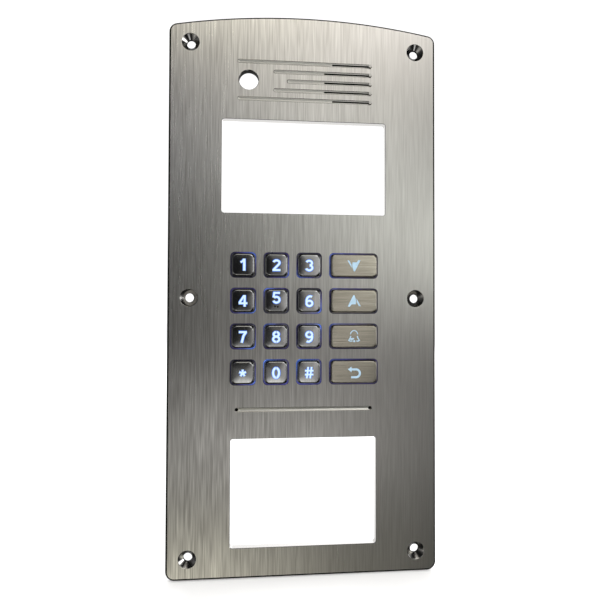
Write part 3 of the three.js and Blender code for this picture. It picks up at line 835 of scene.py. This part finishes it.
def key(label):
    """A cap with its legend let in, and a blue edge round a small key's legend."""
    wide = label in WIDE_KEYS
    body = f"button_{label}"
    top = mm_box(f"key_{label}")[0].y
    cap = stacked(f"cap_{label}", cap_rings(label, wide), smooth_angle=40)
    boolean(cap, legend_solid("recess", label, 0.02 if wide else 0.3, top - 1, top + 0.3), smooth_angle=40)
    if label == "5":
        dots = pips("dots", label, (PIP_MOUTH, top - PAST), (PIP_BOTTOM, top + SIDE_START))
        boolean(cap, dots, smooth_angle=40)
        # Near-black plugs inside the holes are painted shade.
        plugs = pips("tactile_dot_shade_plugs", label, (PIP_PLUG, top + 0.15), (PIP_PLUG, top + 0.5))
        put(plugs, body, PLATE_COATS["deep_shade"])
    # Steep faces below SIDE_START get the near-black painted shade.
    for polygon in cap.data.polygons:
        if polygon.normal.y > -0.5 and polygon.center.y / MM > top + SIDE_START:
            polygon.material_index = 1
    weighted_normals(cap)
    put(cap, body, [WIDE_CAP if wide else SMALL_CAP, CAP_SIDE_SHADE], [f"key_{label}"])
    if not wide:
        edge = legend_solid(f"legend_edge_{label}", label, 0.27, top + 0.1, top + 0.28)
        put(edge, body, LEGEND_EDGE)
    core = legend_solid(f"legend_{label}", label, 0.0, top + 0.06, top + (0.28 if wide else 0.18))
    put(core, body, LEGEND_DIM if wide else LEGEND)


# Where the light leaks out most round each key: a direction, and how much of it leaks all round.
LEAKS = {"1": (1, 1, 0.05), "2": (1, -0.4, 0.1), "3": (-0.3, -0.6, 0.05), "down": (-1, 0.1, 0.05),
         "4": (0.6, -0.8, 0.25), "5": (-0.5, 0.9, 0.05), "6": (0.8, -0.6, 0.05), "up": (-0.4, 1, 0.05),
         "7": (0.6, -0.9, 0.15), "8": (-0.6, 0.9, 0.15), "9": (0.5, 0.9, 0.2), "bell": (-0.6, 0.8, 0.1),
         "star": (0.9, -0.5, 0.05), "0": (-0.9, 0.7, 0.5), "hash": (-0.4, 0.6, 0.6), "return": (-0.4, 1, 0.25)}


def gap_light(label):
    """The translucent lip round a key that carries blue light to the edge of the faceplate."""
    outer = key_outline(label, CAP_GAP - 0.03, KEY_HOLE_CORNER)
    inner = key_outline(label, CAP_GAP - 0.32, KEY_HOLE_CORNER - 0.1)
    front, rear = FRONT + 1.0, REAR - 0.1
    rings = [(outer, rear), (outer, front), (inner, front), (inner, rear)]
    lip = stacked(f"gap_light_{label}", rings, hollow=True)
    leak_x, leak_z, around = LEAKS[label]
    aim = Vector((leak_x, leak_z)).normalized()
    x0, z0 = key_middle(label)
    leak = lip.data.attributes.new("leak", "FLOAT", "POINT")
    for vertex in lip.data.vertices:
        away = Vector((vertex.co.x / MM - x0, vertex.co.z / MM - z0)).normalized()
        leak.data[vertex.index].value = around + max(0.0, away.dot(aim)) ** 2
    put(lip, ROOT, GAP_GLOW)


# ---- Behind the faceplate ----


def stud(name, x, z, rear, replaced=()):
    """A weld stud: a flange on the faceplate's rear and a shank with a helical thread and a pointed lead."""
    sides, per_turn = 20, 4
    rings = turned(x, z, ((STUD_FLANGE - 0.15, 0.0), (STUD_FLANGE, 0.15), (STUD_FLANGE, 0.5),
                          (STUD_FLANGE - 0.2, 0.7), (STUD_RADIUS, 0.72)), sides)
    count = int((rear - THREAD_START) / THREAD_PITCH * per_turn) - 1
    for step in range(count):
        depth = THREAD_START + THREAD_PITCH * step / per_turn
        outline = []
        for i in range(sides):
            phase = (depth / THREAD_PITCH - i / sides) % 1
            radius = STUD_RADIUS - THREAD_DEPTH * abs(2 * phase - 1)
            angle = 2 * math.pi * i / sides
            outline.append((x + radius * math.cos(angle), z + radius * math.sin(angle)))
        rings.append((outline, depth))
    rings += turned(x, z, ((STUD_RADIUS - 0.2, rear - 0.25), (STUD_RADIUS - 0.45, rear)), sides)
    put(stacked(name, rings, smooth_angle=50), ROOT, PLATED, replaced)


def hexagon(x, z, limit):
    """A nut's hexagon, cut off at a limiting radius."""
    points = []
    for i in range(48):
        angle = 2 * math.pi * i / 48
        side = (angle + math.pi / 6) % (math.pi / 3) - math.pi / 6
        radius = min(NUT_WIDTH / 2 / math.cos(side), limit)
        points.append((x + radius * math.cos(angle), z + radius * math.sin(angle)))
    return points


def nut(name, x, z, front, replaced):
    """A flange nut: a coned flange, a chamfered hexagon and a countersunk bore."""
    rear = front + NUT_DEPTH
    corner = NUT_WIDTH / math.sqrt(3)
    rings = turned(x, z, ((NUT_BORE, front), (3.35, front), (3.5, front + 0.12), (3.45, front + 0.45),
                          (3.1, front + 0.8)), 48)
    rings += [(hexagon(x, z, limit), depth) for limit, depth in
              ((corner, front + 0.95), (corner, rear - 0.45), (corner - 0.22, rear - 0.14), (2.6, rear))]
    rings += turned(x, z, ((1.95, rear), (NUT_BORE, rear - 0.35)), 48)
    put(stacked(name, rings, smooth_angle=28, hollow=True), ROOT, PLATED, replaced)


def fixings():
    """The keypad's and loudspeaker's studs and nuts, and the short studs for the display, reader and camera."""
    for kind, count in (("keypad", 4), ("speaker", 2)):
        for i in range(1, count + 1):
            low, high = mm_box(f"{kind}_stud_{i}")
            x, z = middle(low, high)
            stud(f"{kind}_weld_stud_{i}", x, z, high.y, [f"{kind}_stud_{i}"])
            nut(f"{kind}_flange_nut_{i}", x, z, mm_box(f"{kind}_nut_{i}")[0].y, [f"{kind}_nut_{i}"])
    for kind, (reach_x, reach_z) in (("display", DISPLAY_STUDS), ("reader", READER_STUDS)):
        x0, z0 = middle(*opening(f"{kind}_window"))
        for i, (side, end) in enumerate(((-1, 1), (1, 1), (-1, -1), (1, -1)), 1):
            stud(f"{kind}_weld_stud_{i}", x0 + side * reach_x, z0 + end * reach_z, SHORT_STUD_END)
    for i, side in enumerate((-1, 1), 1):
        stud(f"camera_weld_stud_{i}", CAMERA_X + side * CAMERA_STUDS, GRILLE_Z, SHORT_STUD_END)


def keypad_cover():
    """The pressed cover: flange, drawn box with rounded edges, a bead, vents and the header's cut-out."""
    low, high = mm_box("keypad_cover")
    front, rear = low.y, high.y
    flange, ceiling = front + COVER_SHEET, rear - COVER_SHEET
    side, inside = COVER_SIDE, COVER_SIDE - COVER_SHEET
    # Each ring's growth from the cover's box, its corner radius and its depth, from the inside out.
    profile = [(inside - 30, 1.0, ceiling), (inside - 2.2, 1.2, ceiling), (inside - 0.6, 2.4, ceiling - 0.7),
               (inside, 3.0, ceiling - 2.2), (inside, 3.0, front + 0.6), (inside + 0.5, 3.4, front),
               (-0.15, 2.9, front), (0, 3.0, front + 0.15), (0, 3.0, flange - 0.3), (-0.3, 2.8, flange)]
    for i in range(6):
        angle = math.radians(18 * i)
        bend = 1.5 * (1 - math.sin(angle))
        profile.append((side + bend, 4 + bend, flange + 1.5 * (1 - math.cos(angle))))
    for i in range(8):
        angle = math.radians(90 * i / 7)
        turn = 1 - math.cos(angle)
        profile.append((side - 2.0 * turn, 4 - turn, rear - 2.0 * (1 - math.sin(angle))))
    bead = ((-3.6, 0), (-4.1, 0.12), (-4.6, 0.5), (-5.4, 0.6), (-6.2, 0.5), (-6.7, 0.12), (-7.2, 0))
    for grow, depth in bead:
        profile.append((side + grow, 6 + grow / 4, rear - depth))
    profile.append((side - 30, 1.0, rear))
    cover = stacked("keypad_back_cover", boxed(low, high, profile), smooth_angle=30)
    hole = ((1.6, 1.6, rear + PAST), (1.35, 1.4, rear), (1.0, 1.0, rear - 0.4), (1.0, 1.0, front - PAST))
    cuts = [boxed(*mm_box("keypad_header"), hole)]
    for i in range(1, 5):
        x, z = middle(*mm_box(f"keypad_stud_{i}"))
        cuts.append(turned(x, z, ((STUD_CLEARANCE, flange + PAST), (STUD_CLEARANCE, front - PAST)), 24))
    vent = ((1.25, rear + PAST), (1.25, rear), (1.1, rear - 0.15), (1.1, rear - 3))
    cuts += [turned(-26 + VENT_PITCH * i, 2 - VENT_PITCH * j, vent, 20) for i in range(5) for j in range(4)]
    boolean(cover, stacked("cover_cuts", *cuts), smooth_angle=30)
    weighted_normals(cover)
    put(cover, ROOT, ZINC, ["keypad_cover"])


def keypad_header():
    """A shrouded ten-pin header with a polarising slot and two rows of gilt pins."""
    low, high = mm_box("keypad_header")
    x0, z0 = middle(low, high)
    base = low.y + HEADER_BASE
    profile = ((-0.1, 0.2, low.y), (0, 0.3, low.y + 0.1), (0, 0.3, high.y - 0.3), (-0.3, 0.3, high.y),
               (-HEADER_WALL + 0.2, 0.3, high.y), (-HEADER_WALL, 0.2, high.y - 0.4), (-HEADER_WALL, 0.2, base))
    shroud = stacked("header_shroud", boxed(low, high, profile, 2))
    slot = rounded(x0, high.z, 4.5, 2 * HEADER_WALL + 1.2, 0.15, 2)
    notches = [[(slot, base), (slot, high.y + PAST)]]
    for side in (-1, 1):
        mark = rounded(x0 + side * 7.2, low.z, 1.4, 0.7, 0.1, 2)
        notches.append([(mark, low.y + 1.5), (mark, high.y + PAST)])
    boolean(shroud, stacked("notches", *notches))
    put(shroud, ROOT, MOULDED, ["keypad_header"])
    pins = []
    for column in range(5):
        for row in (-0.5, 0.5):
            x, z = x0 + (column - 2) * HEADER_PITCH, z0 + row * HEADER_PITCH
            square = rounded(x, z, 2 * PIN_HALF_WIDTH, 2 * PIN_HALF_WIDTH, 0.05, 1)
            tip = rounded(x, z, 0.3, 0.3, 0.02, 1)
            pins.append([(square, base - 0.5), (square, high.y - 1.7), (tip, high.y - 1.1)])
    put(stacked("header_pins", *pins), ROOT, GILT)


def keypad_mat():
    """The silicone mat: a sheet with a lamp window under each key, and a dome that each key squashes."""
    low, high = mm_box("keypad_mat")
    sheet_front = high.y - MAT_SHEET
    profile = ((-0.2, 0.8, sheet_front), (0, 1.0, sheet_front + 0.2), (0, 1.0, high.y - 0.15),
               (-0.15, 0.8, high.y))
    sheet = stacked("mat_sheet", boxed(low, high, profile))
    windows = []
    for label in KEYS:
        x, z = key_middle(label)
        window = rounded(x, z - LAMP_DROP, 3.0, 1.8, 0.4, 3)
        windows.append([(window, sheet_front - PAST), (window, high.y + PAST)])
    boolean(sheet, stacked("mat_windows", *windows))
    put(sheet, ROOT, SILICONE, ["keypad_mat"])
    profile = ((0.5, low.y + 0.12), (1.5, low.y), (2.4, low.y), (2.6, low.y + 0.12), (2.75, low.y + 0.5),
               (3.2, low.y + 1.0), (3.7, sheet_front - 0.25), (4.0, sheet_front))
    for label in KEYS:
        x, z = key_middle(label)
        dome = stacked(f"dome_{label}", turned(x, z, profile, 32), smooth_angle=60)
        put(dome, ROOT, SILICONE)
        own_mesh(dome)


def speaker_basket(x, z, rim, floor):
    """The pressed basket with four windows."""
    profile = ((11.2, floor - 0.8), (11.6, floor - 1.0), (15.9, rim + 0.25), (16.2, rim), (19.8, rim),
               (20, rim + 0.15), (20, rim + 1.0), (19.7, rim + 1.2), (17.2, rim + 1.2), (16.5, rim + 1.35),
               (12.6, floor - 0.35), (12.0, floor), (2.0, floor), (2.0, floor - 0.8))
    basket = stacked("speaker_frame", turned(x, z, profile, 96), smooth_angle=30, hollow=True)
    windows = []
    for quarter in range(4):
        centre = 90 * quarter + 45
        outline = arc(x, z, 15.2, centre - 34, centre + 34, 12) + arc(x, z, 12.9, centre + 34, centre - 34, 12)
        windows.append([(outline, rim - PAST), (outline, floor + PAST)])
    boolean(basket, stacked("basket_windows", *windows), smooth_angle=30)
    put(basket, ROOT, ZINC, ["speaker_basket"])


def speaker_magnet(x, z):
    """A ferrite ring between a front plate and a rear plate with a vented pole."""
    low, high = mm_box("speaker_magnet")
    front, rear = low.y, high.y
    plates = (((10.3, front), (10.5, front + 0.15), (10.5, front + 0.7), (10.3, front + 0.85)),
              ((10.2, rear - 1.0), (10.4, rear - 0.85), (10.4, rear - 0.2), (10.2, rear), (4.2, rear),
               (3.9, rear - 0.25), (2.6, rear - 0.25), (2.3, rear - 0.8)))
    put(stacked("magnet_plates", *[turned(x, z, plate, 72) for plate in plates]), ROOT, PLATED)
    ferrite = ((10.6, front + 0.85), (11, front + 1.15), (11, rear - 1.3), (10.6, rear - 1.0))
    put(stacked("magnet_ring", turned(x, z, ferrite, 72)), ROOT, FERRITE, ["speaker_magnet"])


def speaker_clamp(x, z):
    """The clamp ring with a lug at each side for its stud."""
    low, high = mm_box("speaker_clamp")
    front, rear = low.y, high.y
    disc = ((21.35, front), (21.5, front + 0.15), (21.5, rear - 0.2), (21.3, rear))
    body = stacked("speaker_clamp_ring", turned(x, z, disc, 96))
    lugs = rounded(middle(low, high)[0], z, high.x - low.x, 9, 2, 10)
    boolean(body, stacked("lugs", [(inset(lugs, 0.1), front + 0.001), (lugs, front + 0.1), (lugs, rear - 0.2),
                                   (inset(lugs, 0.2), rear - 0.001)]), "UNION")
    holes = [turned(x, z, ((17.3, rear + PAST), (17.3, rear), (17.0, rear - 0.3), (17.0, front - PAST)), 96)]
    for i in (1, 2):
        stud_x = middle(*mm_box(f"speaker_stud_{i}"))[0]
        holes.append(turned(stud_x, z, ((STUD_CLEARANCE, rear + PAST), (STUD_CLEARANCE, front - PAST)), 24))
    boolean(body, stacked("clamp_holes", *holes))
    weighted_normals(body)
    put(body, ROOT, ZINC, ["speaker_clamp"])


def speaker_terminals(x, z, floor):
    """A board over one window of the basket, with two soldered lugs."""
    z -= 14.6
    board = rounded(x, z, 11, 4.4, 0.5, 4)
    put(stacked("terminal_board", [(board, floor - 2.9), (board, floor - 1.7)]), ROOT, FIBRE)
    joints = []
    for side in (-1, 1):
        lug = rounded(x + side * 3.1, z, 2.6, 3.4, 0.4, 4)
        joints.append([(lug, floor - 1.69), (inset(lug, 0.1), floor - 1.5)])
        drop = ((1.15, floor - 1.49), (1.0, floor - 1.1), (0.6, floor - 0.8), (0.2, floor - 0.7))
        joints.append(turned(x + side * 3.1, z, drop, 20))
    put(stacked("terminals", *joints), ROOT, SOLDER)


def loudspeaker():
    low, high = mm_box("speaker_basket")
    x, z = middle(low, high)
    speaker_basket(x, z, low.y, high.y)
    speaker_magnet(x, z)
    speaker_clamp(x, z)
    speaker_terminals(x, z, high.y)


def recoat():
    """Detailed materials for the CAD nodes that keep their own shape."""
    coats = {"keypad_gasket": RUBBER, "keypad_frame": MOULDED, "keypad_board": BOARD,
             "keypad_controller": EPOXY, "speaker_seal": FOAM, "speaker_cone": FILM}
    coats.update({f"light_guide_{label}": MILKY for label in KEYS})
    for name, material in coats.items():
        node = frame["nodes"][name]
        node.data.materials.clear()
        node.data.materials.append(material)


# ---- Camera, light and floor ----


# The camera's sensor, lens and place in millimetres, and its turn, tilt and roll in degrees.
SENSOR, LENS = 36, 27.22
EYE = (-23.43, FRONT - 260, -5.47)
YAW, PITCH, ROLL = 4.61, 0.973, -0.172


def camera():
    data = bpy.data.cameras.new("camera")
    data.sensor_width = SENSOR
    data.lens = LENS
    data.clip_start = 0.01
    eye = bpy.data.objects.new("camera", data)
    bpy.context.scene.collection.objects.link(eye)
    eye.location = [value * MM for value in EYE]
    eye.rotation_mode = "XYZ"
    eye.rotation_euler = [math.radians(angle) for angle in (90 + PITCH, ROLL, -YAW)]
    bpy.context.scene.camera = eye


def area_light(name, location, target, size, power, color=(1, 1, 1)):
    """A square light, aimed at a target and hidden from reflections."""
    data = bpy.data.lights.new(name, "AREA")
    data.shape = "RECTANGLE"
    data.size = data.size_y = size
    data.energy = power
    data.color = color
    lamp = bpy.data.objects.new(name, data)
    bpy.context.scene.collection.objects.link(lamp)
    lamp.location = location
    lamp.rotation_mode = "QUATERNION"
    lamp.rotation_quaternion = (Vector(target) - Vector(location)).to_track_quat("-Z", "Y")
    lamp.visible_glossy = False


# Softboxes in front of the panel, which only reflections see: across and up, as slopes from the -Y axis,
# half-sizes, strength and colour.
SOFTBOXES = (
    (0.45, 0.80, 0.15, 0.14, 6.6, (1.0, 0.95, 0.92)),
    (-0.10, 0.80, 0.20, 0.14, 4.0, (1.0, 0.95, 0.78)),
    (0.20, 0.55, 0.15, 0.14, 1.8, (1.0, 0.96, 0.88)),
    (0.20, 0.35, 0.15, 0.14, 1.8, (1.0, 1.0, 0.94)),
    (0.45, 0.15, 0.15, 0.14, 2.6, (0.98, 1.0, 0.92)),
    (0.17, -0.02, 0.11, 0.20, 0.75, (1.0, 0.96, 0.92)),
    (0.0, -0.30, 0.15, 0.12, 1.5, (1.0, 0.98, 0.93)),
    (-0.20, -0.65, 0.15, 0.14, 2.8, (1.0, 0.96, 0.79)),
    (-0.40, 0.45, 0.22, 0.22, 0.35, (0.9, 0.9, 1.0)),
    (-1.50, -0.95, 0.65, 0.55, 0.8, (1.0, 0.98, 0.94)),
    (2.80, 0.20, 0.80, 0.60, 6.0, (1.0, 1.0, 1.0)),
    (0.45, -1.60, 0.25, 0.30, 1.5, (1.0, 1.0, 1.0)),
    (0.15, 1.25, 0.40, 0.25, 1.6, (1.0, 0.97, 0.92)),
)
# Broad lights behind and beside the panel: direction, tightness and strength.
BACK_LIGHTS = (
    ((0.0, 1.0, 0.0), 2.2, 1.15),
    ((0.30, 0.90, 0.35), 14.0, 0.7),
    ((1.0, 0.12, -0.05), 10.0, 0.24),
    ((-1.0, 0.12, -0.05), 10.0, 0.24),
)
STUDIO_BASE = 0.012
STEEPEST = 0.02
WHITE_STRENGTH = 1.1


def world():
    """White for the camera and for diffuse light; soft, directional patches for reflections."""
    made = bpy.data.worlds.new("studio")
    bpy.context.scene.world = made
    made.cycles.sampling_method = "NONE"
    made.use_nodes = True
    tree = made.node_tree
    tree.nodes.clear()

    def calc(operation, a, b=0.0):
        return add_node(tree, "Math", {0: a, 1: b}, operation=operation).outputs["Value"]

    def vector(operation, values, output="Vector"):
        return add_node(tree, "VectorMath", values, operation=operation).outputs[output]

    def add_light(total, level, strength, color):
        scaled = vector("SCALE", {0: color, "Scale": strength})
        return vector("ADD", {0: vector("SCALE", {0: scaled, "Scale": level}), 1: total})

    direction = add_node(tree, "TexCoord").outputs["Generated"]
    x, y, z = add_node(tree, "SeparateXYZ", {0: direction}).outputs
    ahead = calc("MAXIMUM", calc("MULTIPLY", y, -1.0), STEEPEST)
    across, up = calc("DIVIDE", x, ahead), calc("DIVIDE", z, ahead)
    total = (STUDIO_BASE,) * 3
    for across_0, up_0, half_across, half_up, strength, color in SOFTBOXES:
        u = calc("POWER", calc("DIVIDE", calc("SUBTRACT", across, across_0), half_across), 2.0)
        v = calc("POWER", calc("DIVIDE", calc("SUBTRACT", up, up_0), half_up), 2.0)
        level = calc("EXPONENT", calc("MULTIPLY", calc("ADD", u, v), -1.0))
        total = add_light(total, level, strength, color)
    for aim, tightness, strength in BACK_LIGHTS:
        near = vector("DOT_PRODUCT", {0: direction, 1: Vector(aim).normalized()}, "Value")
        level = calc("POWER", calc("MAXIMUM", near, 0.0), tightness)
        total = add_light(total, level, strength, (1, 1, 1))
    studio = add_node(tree, "Background", {"Color": total, "Strength": 1.0})
    white = add_node(tree, "Background", {"Color": (1, 1, 1, 1), "Strength": WHITE_STRENGTH})
    glossy = add_node(tree, "LightPath").outputs["Is Glossy Ray"]
    shown = add_node(tree, "MixShader", {0: glossy, 1: white.outputs[0], 2: studio.outputs[0]})
    add_node(tree, "OutputWorld", {"Surface": shown.outputs[0]})


def floor():
    """A pale floor, 8 m square, half a millimetre below the panel."""
    bm = bmesh.new()
    half, z = 4.0, BOTTOM * MM - 0.0005
    bm.faces.new([bm.verts.new((x * half, y * half, z)) for x, y in ((-1, -1), (1, -1), (1, 1), (-1, 1))])
    ground = finish_mesh(bm, "floor")
    shader = Shader("floor_pale", (0.95, 0.95, 0.95), 0.9, Specular_IOR_Level=0.0)
    shader.dullness(shader.noise(6), 0.85, 0.95)
    ground.data.materials.append(shader.material)
    ground.visible_glossy = False


# ---- Assembly ----

bpy.context.scene.view_settings.view_transform = "Standard"
camera()
world()
floor()
area_light("key_light", (0.55, -1.15, 0.80), (0, 0, 0.02), 0.55, 12.0, (1.0, 0.98, 0.94))
area_light("rear_light", (0.5, 1.2, 0.7), (0, 0, 0), 0.9, 14.0)

faceplate()
for label in KEYS:
    key(label)
    gap_light(label)
fixings()
keypad_cover()
keypad_header()
keypad_mat()
loudspeaker()
recoat()
